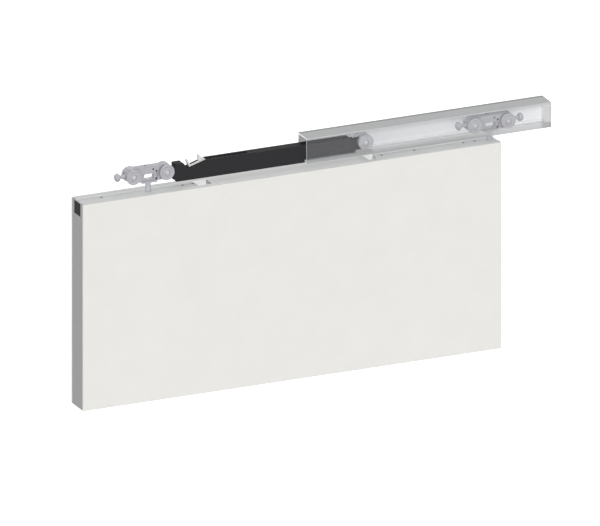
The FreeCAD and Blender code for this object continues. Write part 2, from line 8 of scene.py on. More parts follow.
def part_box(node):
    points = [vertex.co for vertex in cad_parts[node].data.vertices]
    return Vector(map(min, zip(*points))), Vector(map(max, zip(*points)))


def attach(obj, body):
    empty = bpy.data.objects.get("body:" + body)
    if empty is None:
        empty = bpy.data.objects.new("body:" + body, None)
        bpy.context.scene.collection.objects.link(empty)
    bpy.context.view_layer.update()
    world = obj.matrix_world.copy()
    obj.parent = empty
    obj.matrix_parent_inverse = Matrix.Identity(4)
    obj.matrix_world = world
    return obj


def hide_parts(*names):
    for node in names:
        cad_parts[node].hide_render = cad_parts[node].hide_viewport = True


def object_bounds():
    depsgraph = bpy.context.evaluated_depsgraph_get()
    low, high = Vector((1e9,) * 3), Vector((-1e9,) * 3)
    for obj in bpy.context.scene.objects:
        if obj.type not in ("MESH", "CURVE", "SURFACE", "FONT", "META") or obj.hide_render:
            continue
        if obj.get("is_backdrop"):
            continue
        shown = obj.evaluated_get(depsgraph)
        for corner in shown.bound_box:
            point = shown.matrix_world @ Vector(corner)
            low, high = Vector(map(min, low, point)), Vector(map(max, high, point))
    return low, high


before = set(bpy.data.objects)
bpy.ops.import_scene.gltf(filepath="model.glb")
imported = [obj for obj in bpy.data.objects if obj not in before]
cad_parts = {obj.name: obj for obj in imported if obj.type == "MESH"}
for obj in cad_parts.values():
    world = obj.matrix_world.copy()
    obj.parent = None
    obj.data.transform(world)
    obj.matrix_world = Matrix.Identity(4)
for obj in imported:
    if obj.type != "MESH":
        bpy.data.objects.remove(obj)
cad_low, cad_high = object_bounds()

# Top track: an aluminium channel, extruded, satin anodised and sawn to length. It is screwed up
# under the head of the pocket by its top, and the trolleys run along the ledges at its foot.
MM = 0.001
EXTRUSION_LINE_MM = (240, 1.6, 1.6)
# Where the tones of its inside and its top start and where they are full, from the track's left
# end, top, foot and back.
LIT_FROM_MM = 84
SHADE_UNDER_TOP_MM = (-21, -9)
SHADE_OVER_FOOT_MM = (4, 1)
BACK_ARRIS_MM = (-7, -4)
TOP_DEPTH_MM = 1
FILM_METALLIC = 0.2
BARE_METALLIC = 0.9
# A face looks along an axis when its normal does so by this share, and a point lies on one of the
# outer faces when it is nearer than this.
SQUARE_ON = 0.9
FACE_NEAR_MM = 0.3
track_low, track_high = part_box("track_channel")
track_length_mm = (track_high.x - track_low.x) / MM


def linear(hex_colour):
    """An sRGB hex colour as the linear RGBA that a socket takes."""
    channels = [int(hex_colour[start:start + 2], 16) / 255 for start in (0, 2, 4)]
    return (*(c / 12.92 if c <= 0.04045 else ((c + 0.055) / 1.055) ** 2.4 for c in channels), 1.0)


def add(tree, kind, settings, links=None):
    """Add a shader node with its sockets and properties set and its inputs linked.

    A link is a node, for its first output, or a node with the name of another output.
    """
    node = tree.nodes.new("ShaderNode" + kind)
    for name, value in settings.items():
        if isinstance(name, int) or name in node.inputs:
            node.inputs[name].default_value = value
        else:
            setattr(node, name, value)
    for name, link in (links or {}).items():
        source, output = link if isinstance(link, tuple) else (link, 0)
        tree.links.new(source.outputs[output], node.inputs[name])
    return node


def between(level, start_mm, end_mm):
    """Map Range settings for a mask that grows from 0 to 1 between two distances from a level."""
    return {
        "From Min": level + start_mm * MM, "From Max": level + end_mm * MM,
        "interpolation_type": "SMOOTHSTEP",
    }


class Finish:
    """A material whose tone, gloss and relief all follow one grain.

    tones are the dark and the light of its colour, grain_mm the grain's size along X, Y and Z,
    relief_mm its depth and gloss the range of its roughness.
    """

    # The part of the grain's noise that is spread over both tones.
    GRAIN_SPAN = (0.3, 0.7)
    # How well the rounded normal matches the true one where wear starts and where it is full, and
    # how much of the worn colour shows there.
    CORNER_MATCH = (0.99, 0.8)
    CORNER_MOST = 0.5
    # How open the place is where the painted shade in gaps starts and where it is full.
    GAP_OPENNESS = (0.8, 0.3)

    def __init__(self, name, tones, grain_mm, relief_mm, gloss, sockets):
        self.material = bpy.data.materials.new(name)
        self.material.use_nodes = True
        self.tree = self.material.node_tree
        self.shader = self.tree.nodes["Principled BSDF"]
        for socket, value in sockets.items():
            self.shader.inputs[socket].default_value = value
        place = add(self.tree, "TexCoord", {})
        self.at = add(self.tree, "SeparateXYZ", {}, {"Vector": (place, "Object")})
        self.faces = add(self.tree, "SeparateXYZ", {}, {"Vector": (place, "Normal")})
        scaled = add(self.tree, "Mapping", {"Scale": [1 / (size * MM) for size in grain_mm]},
                     {"Vector": (place, "Object")})
        grain = add(self.tree, "TexNoise", {"Scale": 1.0, "Detail": 5.0, "Roughness": 0.55},
                    {"Vector": scaled})
        spread = add(self.tree, "MapRange",
                     {"From Min": self.GRAIN_SPAN[0], "From Max": self.GRAIN_SPAN[1]}, {"Value": grain})
        self.tone = add(self.tree, "MixRGB", {"Color1": linear(tones[0]), "Color2": linear(tones[1])},
                        {"Fac": spread})
        rough = add(self.tree, "MapRange", {"To Min": gloss[0], "To Max": gloss[1]}, {"Value": spread})
        relief = add(self.tree, "Bump", {"Strength": 1.0, "Distance": relief_mm * MM}, {"Height": grain})
        self.feed("Base Color", self.tone)
        self.feed("Roughness", rough)
        self.feed("Normal", relief)

    def feed(self, socket, source):
        """Link a node to one of the shader's sockets."""
        self.tree.links.new(source.outputs[0], self.shader.inputs[socket])

    def over(self, colour, *masks):
        """Lay another colour over the tone where all of the masks are 1."""
        mask, *others = masks
        for other in others:
            mask = add(self.tree, "Math", {"operation": "MULTIPLY"}, {0: mask, 1: other})
        self.tone = add(self.tree, "MixRGB", {"Color2": linear(colour)},
                        {"Fac": mask, "Color1": self.tone})
        self.feed("Base Color", self.tone)

    def wear(self, colour, width_mm):
        """Lay a colour along the corners, where a rounded normal leaves the true one."""
        true = add(self.tree, "NewGeometry", {})
        rounded = add(self.tree, "Bevel", {"samples": 4, "Radius": width_mm * MM})
        match = add(self.tree, "VectorMath", {"operation": "DOT_PRODUCT"},
                    {0: (true, "Normal"), 1: rounded})
        worn = add(self.tree, "MapRange",
                   {"From Min": self.CORNER_MATCH[0], "From Max": self.CORNER_MATCH[1],
                    "To Max": self.CORNER_MOST}, {"Value": (match, "Value")})
        self.over(colour, worn)

    def gap_shade(self, colour, reach_mm):
        """Paint a darker colour in gaps and corners, where other surfaces stand close: a painted shade."""
        openness = add(self.tree, "AmbientOcclusion", {"samples": 8, "Distance": reach_mm * MM})
        closed_in = add(self.tree, "MapRange",
                        {"From Min": self.GAP_OPENNESS[0], "From Max": self.GAP_OPENNESS[1]},
                        {"Value": (openness, "AO")})
        self.over(colour, closed_in)

    def dress(self, *names):
        """Put the finish on CAD nodes."""
        for name in names:
            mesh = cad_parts[name].data
            mesh.materials.clear()
            mesh.materials.append(self.material)


def soften(edge_mm, *names):
    """Break the sharp corners of CAD nodes with a small bevel."""
    for name in names:
        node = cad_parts[name]
        weld = node.modifiers.new("joined_faces", "WELD")
        weld.merge_threshold = 0.001 * MM
        bevel = node.modifiers.new("broken_corners", "BEVEL")
        bevel.width = edge_mm * MM
        bevel.segments = 2
        bevel.limit_method = "ANGLE"
        bevel.angle_limit = math.radians(40)
        bevel.harden_normals = True


# Clear-anodised aluminium: an even, dull silver with faint lines along the extrusion. The lines
# of a real one are finer than a pixel, so they are drawn coarser here to show at all.
anodised = Finish("satin_anodised_aluminium", ("a4a5a6", "aeafb0"), EXTRUSION_LINE_MM, 0.02,
                  (0.36, 0.48), {"Metallic": FILM_METALLIC})
# Its inside is painted lighter down the middle of the wall, most at the far end: a painted light.
# Under the top and over the foot it is painted darker: a painted shade.
facing_front = add(anodised.tree, "Math", {"operation": "LESS_THAN", 1: -SQUARE_ON},
                   {0: (anodised.faces, "Y")})
low_half = add(anodised.tree, "Math", {"operation": "LESS_THAN", 1: (track_low.z + track_high.z) / 2},
               {0: (anodised.at, "Z")})
wall_or_ledge = add(anodised.tree, "Math", {"operation": "MAXIMUM"}, {0: facing_front, 1: low_half})
off_back = add(anodised.tree, "Math", {"operation": "LESS_THAN", 1: track_high.y - FACE_NEAR_MM * MM},
               {0: (anodised.at, "Y")})
off_foot = add(anodised.tree, "Math", {"operation": "GREATER_THAN", 1: track_low.z + FACE_NEAR_MM * MM},
               {0: (anodised.at, "Z")})
inside = (wall_or_ledge, off_back, off_foot)
anodised.over("e5e6e8", *inside)
far_half = add(anodised.tree, "MapRange", between(track_low.x, LIT_FROM_MM, track_length_mm),
               {"Value": (anodised.at, "X")})
anodised.over("f2f3f5", *inside, far_half)
# Painted shade: the inside darkens under the top and over the foot.
under_top = add(anodised.tree, "MapRange", between(track_high.z, *SHADE_UNDER_TOP_MM),
                {"Value": (anodised.at, "Z")})
over_foot = add(anodised.tree, "MapRange", between(track_low.z, *SHADE_OVER_FOOT_MM),
                {"Value": (anodised.at, "Z")})
inside_shade = add(anodised.tree, "Math", {"operation": "MAXIMUM"}, {0: under_top, 1: over_foot})
anodised.over("c4c5c7", *inside, inside_shade)
# The ledge's top is painted bright: a painted light in the shade of the channel.
facing_up = add(anodised.tree, "Math", {"operation": "GREATER_THAN", 1: SQUARE_ON},
                {0: (anodised.faces, "Z")})
anodised.over("e4e5e7", facing_up, low_half)
# Along the back arris of the top a dark line is painted: a painted shade.
top_skin = add(anodised.tree, "Math", {"operation": "GREATER_THAN", 1: track_high.z - TOP_DEPTH_MM * MM},
               {0: (anodised.at, "Z")})
back_arris = add(anodised.tree, "MapRange", between(track_high.y, *BACK_ARRIS_MM),
                 {"Value": (anodised.at, "Y")})
anodised.over("7c7d7e", facing_up, top_skin, back_arris)
# The sawn ends are bare and bright.
end_on = add(anodised.tree, "Math", {"operation": "ABSOLUTE"}, {0: (anodised.faces, "X")})
sawn = add(anodised.tree, "Math", {"operation": "GREATER_THAN", 1: SQUARE_ON}, {0: end_on})
anodised.over("f4f4f4", sawn)
bare = add(anodised.tree, "MapRange", {"To Min": FILM_METALLIC, "To Max": BARE_METALLIC}, {"Value": sawn})
anodised.feed("Metallic", bare)
anodised.dress("track_channel")
soften(0.3, "track_channel")

# Front wall of the track: for display it is a clear acrylic strip in place of the aluminium one,
# pushed up under the track's top, with the front running ledge along its foot.
wall_low, wall_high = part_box("track_front_wall")
# Where each haze, greyed with painted shade, starts and where it is full: two from the wall's foot,
# one from its left end and two from its right end. Then how much each of them hides.
LOW_FROST_AND_SHADE_MM = (8.5, 1.5)
HIGH_FROST_AND_SHADE_MM = (11.5, 7.5)
PAST_DAMPER_MM = (70, 77)
FROST_THINS_MM = (-140, -30)
END_SHADE_MM = (-18, -11)
HAZE_INSIDE = 0.02
HAZE_CLEAR = 0.09
HAZE_FOOT = 0.93
HAZE_BEYOND = 0.88
HAZE_END = 0.68

# Cast acrylic: see-through, with a faint haze on its outer face that thickens to grey at the foot,
# higher up beyond the damper, and at the far end; that grey is painted shade. The cut edges gather light.
acrylic = Finish("clear_cast_acrylic", ("e2e3e5", "e9eaec"), (60, 12, 12), 0.005, (0.05, 0.12),
                 {"IOR": 1.49})
low_frost_and_shade = add(acrylic.tree, "MapRange", between(wall_low.z, *LOW_FROST_AND_SHADE_MM), {"Value": (acrylic.at, "Z")})
raised = add(acrylic.tree, "MapRange", between(wall_low.z, *HIGH_FROST_AND_SHADE_MM), {"Value": (acrylic.at, "Z")})
past_damper = add(acrylic.tree, "MapRange", between(wall_low.x, *PAST_DAMPER_MM),
                  {"Value": (acrylic.at, "X")})
high_frost_and_shade = add(acrylic.tree, "Math", {"operation": "MULTIPLY"}, {0: raised, 1: past_damper})
frost_and_shade = add(acrylic.tree, "Math", {"operation": "MAXIMUM"}, {0: low_frost_and_shade, 1: high_frost_and_shade})
thinned = add(acrylic.tree, "MapRange", between(wall_high.x, *FROST_THINS_MM), {"Value": (acrylic.at, "X")})
end_shade = add(acrylic.tree, "MapRange", between(wall_high.x, *END_SHADE_MM), {"Value": (acrylic.at, "X")})
end_on = add(acrylic.tree, "Math", {"operation": "ABSOLUTE"}, {0: (acrylic.faces, "X")})
cut_edge = add(acrylic.tree, "Math", {"operation": "GREATER_THAN", 1: SQUARE_ON}, {0: end_on})
# Painted shade: grey at the foot and beyond the damper, darker at the far end.
acrylic.over("a3a4a6", frost_and_shade)
acrylic.over("bcbdbf", high_frost_and_shade, thinned)
acrylic.over("98999c", end_shade)
acrylic.over("f0f1f2", cut_edge)
# The thickest of these hazes shows, on the outer face alone, and the cut edges are opaque.
haze = add(acrylic.tree, "Math", {"operation": "MULTIPLY", 1: HAZE_FOOT}, {0: low_frost_and_shade})
for mask, thickness in ((high_frost_and_shade, HAZE_BEYOND), (end_shade, HAZE_END)):
    layer = add(acrylic.tree, "Math", {"operation": "MULTIPLY", 1: thickness}, {0: mask})
    haze = add(acrylic.tree, "Math", {"operation": "MAXIMUM"}, {0: haze, 1: layer})
haze = add(acrylic.tree, "Math", {"operation": "MAXIMUM", 1: HAZE_CLEAR}, {0: haze})
outer = add(acrylic.tree, "Math", {"operation": "LESS_THAN", 1: wall_low.y + FACE_NEAR_MM * MM},
            {0: (acrylic.at, "Y")})
haze = add(acrylic.tree, "Math", {"operation": "MULTIPLY"}, {0: haze, 1: outer})
haze = add(acrylic.tree, "Math", {"operation": "MAXIMUM", 1: HAZE_INSIDE}, {0: haze})
opacity = add(acrylic.tree, "Math", {"operation": "MAXIMUM"}, {0: haze, 1: cut_edge})
acrylic.feed("Alpha", opacity)
acrylic.dress("track_front_wall")
soften(0.2, "track_front_wall")

# Door panel: a light core under a timber head, faced front and back with lacquered board and
# edged with plastic band. The facings are glued on and stand flush with the edging.
SHADED_ENDS_MM = 20
damper_low, damper_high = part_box("damper_housing")

# Off-white lacquer: sprayed and rubbed down, almost flat to the eye, with a faint orange peel.
lacquer = Finish("sprayed_off_white_lacquer", ("e9e8e4", "ecebe7"), (38, 38, 38), 0.06, (0.42, 0.52),
                 {"IOR": 1.5})
# The top edges are painted darker: a painted shade on the faces turned up.
shaded_top_edge = add(lacquer.tree, "Math", {"operation": "GREATER_THAN", 1: SQUARE_ON}, {0: (lacquer.faces, "Z")})
lacquer.over("d3d2ce", shaded_top_edge)
lacquer.dress("front_facing", "back_facing")
# ABS edge band: extruded light grey plastic, cooler and duller than the lacquer.
edge_band = Finish("light_grey_abs_edge_band", ("a4a5a7", "aaabad"), (1.2, 1.2, 40), 0.02, (0.5, 0.6),
                   {"IOR": 1.53})
edge_band.dress("left_edging", "right_edging", "bottom_edging")
# Primed softwood: white primer through which the long grain still shows as fine streaks.
primed = Finish("primed_softwood", ("dcdddc", "e4e5e4"), (70, 1.5, 1.5), 0.03, (0.55, 0.7),
                {"IOR": 1.5})
# It is painted greyer at both ends, clear of the damper: a painted shade that evens out the light there.
for level, start_mm, end_mm in ((damper_low.x, SHADED_ENDS_MM, 0), (damper_high.x, 0, SHADED_ENDS_MM)):
    open_end_shade = add(primed.tree, "MapRange", between(level, start_mm, end_mm), {"Value": (primed.at, "X")})
    primed.over("cdcecd", open_end_shade)
# The faces turned to the front, the grooves' walls among them, are painted brighter: a painted light.
lit_groove_wall = add(primed.tree, "Math", {"operation": "LESS_THAN", 1: -SQUARE_ON}, {0: (primed.faces, "Y")})
primed.over("f6f6f6", lit_groove_wall)
# The end grain turned to the left is painted darker: a painted shade.
shaded_end_grain = add(primed.tree, "Math", {"operation": "LESS_THAN", 1: -SQUARE_ON}, {0: (primed.faces, "X")})
primed.over("abacac", shaded_end_grain)
primed.dress("head_rail", "head_front_lath", "head_back_lath", "head_filler")
# Particle board: pressed chips, buff and speckled, hidden by the facings.
chipboard = Finish("raw_particle_board", ("b49a70", "d8c39c"), (3, 3, 3), 0.1, (0.8, 0.95),
                   {"IOR": 1.5})
chipboard.dress("door_core")
soften(0.4, "front_facing", "back_facing", "left_edging", "right_edging", "bottom_edging",
       "head_front_lath", "head_back_lath", "head_filler")

# Hanger rails: C-section aluminium rails let into the panel's top, mill finished and screwed down.
# Each is closed at the panel's end by a black plug and along its slot by a thin dust strip.
UP = (0, 0, 1)
# The slot's room beside the bolt, the strip's gaps left and right of it, and the strip's fit.
SLOT_ROOM_MM = 0.5
BOLT_ROOM_MM = (4.2, 5)
STRIP_FIT_MM = 0.15
STRIP_DROP_MM = 0.5
STRIP_THICKNESS_MM = 1.2
# The strip's section in half widths and thicknesses, with its crown at 0.
STRIP_SECTION = (
    (-1, -1), (1, -1), (1, -0.35), (0.85, -0.1), (0.4, 0), (-0.4, 0), (-0.85, -0.1), (-1, -0.35),
)
# A screw's broken edge, its socket's size and its socket's depth, as shares of its radius.
SCREW_EDGE = 0.15
SCREW_SOCKET = 0.5
SCREW_SOCKET_DEPTH = 0.7
SCREW_STEPS = 36
# The rail screws: from the panel's left end, behind the slot's middle, under the strip's top, and
# the radius and height of each.
RAIL_SCREWS_MM = {"left": (37, 159, 174.5), "right": (459, 508, 582, 599)}
RAIL_SCREW_BEHIND_MM = 1.5
RAIL_SCREW_SUNK_MM = 1.6
RAIL_SCREW_SIZE_MM = (1.7, 1.9)

# Mill-finish aluminium: bare and slightly brighter than the anodised track, with die lines.
mill = Finish("mill_finish_aluminium", ("c7c8c8", "d3d4d4"), (200, 1.2, 1.2), 0.02, (0.38, 0.5),
              {"Metallic": 0.2})
# The sawn left ends are bright.
sawn_end = add(mill.tree, "Math", {"operation": "LESS_THAN", 1: -SQUARE_ON}, {0: (mill.faces, "X")})
mill.over("f4f4f4", sawn_end)
mill.dress("left_hanger_rail", "right_hanger_rail")
# Moulded polyamide: black turned dark grey by its matt spark-eroded skin.
polyamide = Finish("matt_black_polyamide", ("1b1b1b", "222222"), (0.8, 0.8, 0.8), 0.02, (0.5, 0.65),
                   {"IOR": 1.53, "Specular IOR Level": 0.1})
# The plugs' tops lie flush with the panel's head and were primed with it.
plug_top = add(polyamide.tree, "Math", {"operation": "GREATER_THAN", 1: SQUARE_ON},
               {0: (polyamide.faces, "Z")})
polyamide.over("c6c7c7", plug_top)
polyamide.dress("left_end_plug", "right_end_plug")
soften(0.3, "left_hanger_rail", "right_hanger_rail", "left_end_plug", "right_end_plug")
# Extruded PVC: pale grey and softly shining, with fine lines along its length.
vinyl = Finish("extruded_pale_vinyl", ("c6c7c7", "cfd0d0"), (80, 0.9, 0.9), 0.01, (0.45, 0.55),
               {"IOR": 1.53})
# Black oxide on steel: almost black, slightly oily and uneven.
black_oxide = Finish("black_oxide_on_steel", ("2c2c2e", "3a3a3c"), (1.5, 1.5, 1.5), 0.01, (0.35, 0.5),
                     {"Metallic": 0.3})


def make_piece(name, built, finish, body):
    """Turn a built mesh into a piece that rides on a body."""
    mesh = bpy.data.meshes.new(name)
    bmesh.ops.recalc_face_normals(built, faces=built.faces)
    built.to_mesh(mesh)
    built.free()
    mesh.materials.append(finish.material)
    mesh.shade_smooth()
    mesh.set_sharp_from_angle(angle=math.radians(35))
    thing = bpy.data.objects.new(name, mesh)
    bpy.context.scene.collection.objects.link(thing)
    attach(thing, body)
    return thing


def skin(built, rings, closed):
    """Join rings of points with faces, and close the first and last ring or join them too."""
    points = [[built.verts.new(point) for point in ring] for ring in rings]
    following = points[1:] + points[:1] if closed else points[1:]
    for near, far in zip(points, following):
        for index in range(len(near)):
            after = (index + 1) % len(near)
            built.faces.new((near[index], near[after], far[after], far[index]))
    if not closed:
        built.faces.new(points[0][::-1])
        built.faces.new(points[-1])


def make_strip(name, start, end, half_width, top):
    """A dust strip: a slightly crowned section drawn along the slot."""
    rings = [[(x, y * half_width, top + z * STRIP_THICKNESS_MM * MM) for y, z in STRIP_SECTION]
             for x in (start, end)]
    built = bmesh.new()
    skin(built, rings, False)
    make_piece(name, built, vinyl, "door")


def make_screw(name, place, axis, radius_mm, height_mm):
    """A small screw with a hexagon socket, standing on a place along an axis."""
    edge = SCREW_EDGE * radius_mm
    socket = SCREW_SOCKET * radius_mm
    socket_floor = height_mm - SCREW_SOCKET_DEPTH * radius_mm
    levels = (
        (radius_mm, 0, False), (radius_mm, height_mm - edge, False), (radius_mm - edge, height_mm, False),
        (socket, height_mm, True), (socket, socket_floor, True),
    )
    rings = []
    for reach, along, six_sided in levels:
        ring = []
        for step in range(SCREW_STEPS):
            angle = step * math.tau / SCREW_STEPS
            spread = math.cos(angle % (math.tau / 6) - math.tau / 12) if six_sided else 1
            ring.append(Vector((math.cos(angle), math.sin(angle), 0)) * (reach / spread * MM)
                        + Vector((0, 0, along * MM)))
        rings.append(ring)
    built = bmesh.new()
    skin(built, rings, False)
    turn = Vector(axis).to_track_quat("Z", "Y").to_matrix().to_4x4()
    built.transform(Matrix.Translation(place) @ turn)
    make_piece(name, built, black_oxide, "door")


for side in ("left", "right"):
    low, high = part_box(side + "_hanger_rail")
    bolt_low, bolt_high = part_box(side + "_hanger_bolt")
    half_strip = (bolt_high.x - bolt_low.x) / 2 + (SLOT_ROOM_MM - STRIP_FIT_MM) * MM
    strip_top = high.z - STRIP_DROP_MM * MM
    bolt_x = (bolt_low.x + bolt_high.x) / 2
    make_strip(side + "_left_dust_strip", low.x, bolt_x - BOLT_ROOM_MM[0] * MM, half_strip, strip_top)
    make_strip(side + "_right_dust_strip", bolt_x + BOLT_ROOM_MM[1] * MM, high.x, half_strip, strip_top)
    for number, from_left_mm in enumerate(RAIL_SCREWS_MM[side], start=1):
        seat = Vector((cad_low.x + from_left_mm * MM, RAIL_SCREW_BEHIND_MM * MM,
                       strip_top - RAIL_SCREW_SUNK_MM * MM))
        make_screw("%s_rail_screw_%d" % (side, number), seat, UP, *RAIL_SCREW_SIZE_MM)

# Slide nuts and hanger bolts: zinc-plated steel. A nut lies under each rail's lips, and the bolt
# screwed into it carries the panel's weight up through the slot to the trolley.
THREAD_PITCH_MM = 1.25
THREAD_DEPTH_MM = 0.3
THREAD_TAPER = 1.3
STEPS_PER_PITCH = 8
TURN_STEPS = 72

# Bright zinc on steel: a clean cool grey with a faint cloudy bloom and sharp reflections.
zinc = Finish("bright_zinc_on_steel", ("bfc0c5", "cdced3"), (5, 5, 5), 0.01, (0.36, 0.48),
              {"Metallic": 0.3})
zinc.dress("left_slide_nut", "right_slide_nut")
soften(0.3, "left_slide_nut", "right_slide_nut")


def threaded(radius, bottom, top):
    """A screwed rod along Z, its radius rising and falling with the thread, tapered at both ends."""
    pitch = THREAD_PITCH_MM * MM
    depth = THREAD_DEPTH_MM * MM
    count = int((top - bottom) / pitch * STEPS_PER_PITCH)
    rings = []
    for level in range(count + 1):
        height = bottom + (top - bottom) * level / count
        most = min(radius, radius - THREAD_TAPER * depth + min(height - bottom, top - height))
        ring = []
        for step in range(TURN_STEPS):
            turn = step / TURN_STEPS
            wave = abs(2 * ((height / pitch - turn) % 1) - 1)
            reach = min(radius - depth * wave, most)
            ring.append((reach * math.cos(turn * math.tau), reach * math.sin(turn * math.tau), height))
        rings.append(ring)
    built = bmesh.new()
    skin(built, rings, False)
    return built


for side in ("left", "right"):
    low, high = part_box(side + "_hanger_bolt")
    rod = threaded((high.x - low.x) / 2, low.z, high.z)
    rod.transform(Matrix.Translation(((low.x + high.x) / 2, 0, 0)))
    bolt = make_piece(side + "_threaded_bolt", rod, zinc, "door")
    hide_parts(side + "_hanger_bolt")

# Trolley bodies: zinc die castings with a see-through window over the bolt's end. A grub screw
# locks the bolt, and two black screws and one on top close the casting.
TO_FRONT = (0, -1, 0)
# Each screw in the front: right of the middle, behind the front face, over the axles, and its
# radius and height. The top screw: right of the middle, behind it, and its radius and height.
FRONT_SCREWS_MM = {
    "grub_screw": ((5.5, 3, 6.6), (1.2, 2.2)),
    "cover_screw_1": ((10.4, 0, 3.6), (1.3, 0.5)),
    "cover_screw_2": ((10.4, 1.2, -7.6), (1.3, 0.5)),
}
TOP_SCREW_MM = ((-3.2, 2.6), (1.3, 0.4))

# Die-cast zinc: tumbled and lightly painted, a lilac grey with a soft cloudy skin.
casting = Finish("painted_zinc_casting", ("acacb2", "b7b7bd"), (4, 4, 4), 0.03, (0.42, 0.56),
                 {"Metallic": 0.1, "IOR": 1.5})
# The tops were left as cast and are slightly duller.
as_cast = add(casting.tree, "Math", {"operation": "GREATER_THAN", 1: SQUARE_ON}, {0: (casting.faces, "Z")})
casting.over("b2b2b8", as_cast)
casting.wear("bcbcc2", 0.5)
# Painted shade darkens the casting in its gaps and corners.
casting.gap_shade("65656c", 4)
casting.dress("left_trolley_body", "right_trolley_body")
soften(0.4, "left_trolley_body", "right_trolley_body")
for side in ("left", "right"):
    low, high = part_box(side + "_trolley_body")
    axle_low, axle_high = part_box(side + "_trolley_left_axle")
    front_middle = Vector(((low.x + high.x) / 2, low.y, (axle_low.z + axle_high.z) / 2))
    for name, (place_mm, size_mm) in FRONT_SCREWS_MM.items():
        make_screw("%s_%s" % (side, name), front_middle + Vector(place_mm) * MM, TO_FRONT, *size_mm)
    (across_mm, behind_mm), size_mm = TOP_SCREW_MM
    seat = Vector((front_middle.x + across_mm * MM, behind_mm * MM, high.z))
    make_screw(side + "_top_screw", seat, UP, *size_mm)

# Wheels: moulded nylon rollers with a raised rim, a sunk web and a hub that runs on the axle. The
# axles are steel pins, pressed through the casting and riveted over at both ends.
BORE_RADIUS_MM = 2.05
RIM_MM = 2.4
RIM_CHAMFER_MM = 0.7
# The web falls slightly from the rim to the hub.
WEB_SUNK_MM = (0.7, 0.8)
HUB_RADIUS_MM = 5
HUB_SUNK_MM = 0.3
SEAT_RADIUS_MM = 3.5
SEAT_SUNK_MM = 1.1
DRAFT_MM = 0.4
WHEEL_EASE_MM = 0.4
PIN_RADIUS_MM = 2
HEAD_HEIGHT_MM = 0.8
HEAD_DOME_MM = 0.45
# The share of a rivet head's radius that is flat.
HEAD_FLAT = 0.6
HEAD_EASE_MM = 0.3

# Grey nylon: moulded and waxy, even in colour with a faint flow mottle.
nylon = Finish("moulded_grey_nylon", ("adadb2", "b7b7bc"), (2.5, 2.5, 2.5), 0.015, (0.38, 0.5),
               {"IOR": 1.53})
nylon.wear("bfbfc4", 0.4)
# Painted shade darkens the wheels in their gaps and corners.
nylon.gap_shade("707077", 3)


def eased(corners, radius):
    """Round the corners of a closed outline, less where its sides are short, but not on the axis."""
    points = []
    for index, corner in enumerate(corners):
        tip = Vector(corner)
        if tip.x == 0:
            points.append(tip)
            continue
        before = Vector(corners[index - 1]) - tip
        after = Vector(corners[(index + 1) % len(corners)]) - tip
        reach = min(radius, 0.4 * before.length, 0.4 * after.length)
        start = tip + before.normalized() * reach
        end = tip + after.normalized() * reach
        for part in (0, 0.25, 0.5, 0.75, 1):
            points.append(start * (1 - part) ** 2 + tip * 2 * part * (1 - part) + end * part ** 2)
    return points


def turned(outline, centre, axis):
    """A turned piece: a closed outline of (radius, along) in mm, swept round an axis at a centre."""
    rings = []
    for step in range(TURN_STEPS):
        angle = step * math.tau / TURN_STEPS
        rings.append([Vector((point.x * math.cos(angle), point.x * math.sin(angle), point.y)) * MM
                      for point in outline])
    built = bmesh.new()
    skin(built, rings, True)
    bmesh.ops.remove_doubles(built, verts=built.verts, dist=0.0001 * MM)
    spin = Vector(axis).to_track_quat("Z", "Y").to_matrix().to_4x4()
    built.transform(Matrix.Translation(centre) @ spin)
    return built


def make_wheel(node):
    """One wheel, its outline set out from the face next to the casting to the face outside."""
    low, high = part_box(node)
    outward = 1 if low.y > 0 else -1
    width = (high.y - low.y) / MM
    radius = (high.x - low.x) / 2 / MM
    inner = low.y if outward > 0 else high.y
    outline = eased([
        (BORE_RADIUS_MM, 0), (radius - RIM_CHAMFER_MM, 0), (radius, RIM_CHAMFER_MM),
        (radius, width - RIM_CHAMFER_MM), (radius - RIM_CHAMFER_MM, width),
        (radius - RIM_MM, width), (radius - RIM_MM - DRAFT_MM, width - WEB_SUNK_MM[0]),
        (HUB_RADIUS_MM + DRAFT_MM, width - WEB_SUNK_MM[1]), (HUB_RADIUS_MM, width - HUB_SUNK_MM),
        (SEAT_RADIUS_MM + DRAFT_MM / 2, width - HUB_SUNK_MM), (SEAT_RADIUS_MM, width - SEAT_SUNK_MM),
        (BORE_RADIUS_MM, width - SEAT_SUNK_MM),
    ], WHEEL_EASE_MM)
    centre = Vector(((low.x + high.x) / 2, inner, (low.z + high.z) / 2))
    wheel = make_piece("nylon_" + node, turned(outline, centre, (0, outward, 0)), nylon, node)
    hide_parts(node)


def make_axle(node):
    """One axle pin, with a domed head riveted over each hub."""
    low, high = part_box(node)
    half = (high.y - low.y) / 2 / MM
    head = (high.x - low.x) / 2 / MM
    under = half - HEAD_HEIGHT_MM
    rim = half - HEAD_DOME_MM
    outline = eased([
        (0, -half), (head * HEAD_FLAT, -half), (head, -rim), (head, -under), (PIN_RADIUS_MM, -under),
        (PIN_RADIUS_MM, under), (head, under), (head, rim), (head * HEAD_FLAT, half), (0, half),
    ], HEAD_EASE_MM)
    axle = make_piece("riveted_" + node, turned(outline, (low + high) / 2, (0, 1, 0)), zinc, "door")
    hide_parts(node)


for side in ("left", "right"):
    for end in ("left", "right"):
        make_axle("%s_trolley_%s_axle" % (side, end))
        for face in ("front", "back"):
            make_wheel("%s_trolley_%s_%s_wheel" % (side, end, face))

# Buffers: moulded nylon knobs, screwed into both ends of each trolley. They meet the track's
# stops, and one of them locks into the damper.
COLLAR_RADIUS_MM = 3.4
COLLAR_HEIGHT_MM = 1.2
NECK_RADIUS_MM = 2.5
NECK_START_MM = 2.2
KNOB_LENGTH_MM = 6.8
KNOB_DRAFT_MM = 0.1
KNOB_SHOULDER_MM = 1.6
KNOB_NOSE_MM = 2.2
KNOB_EASE_MM = 1.6

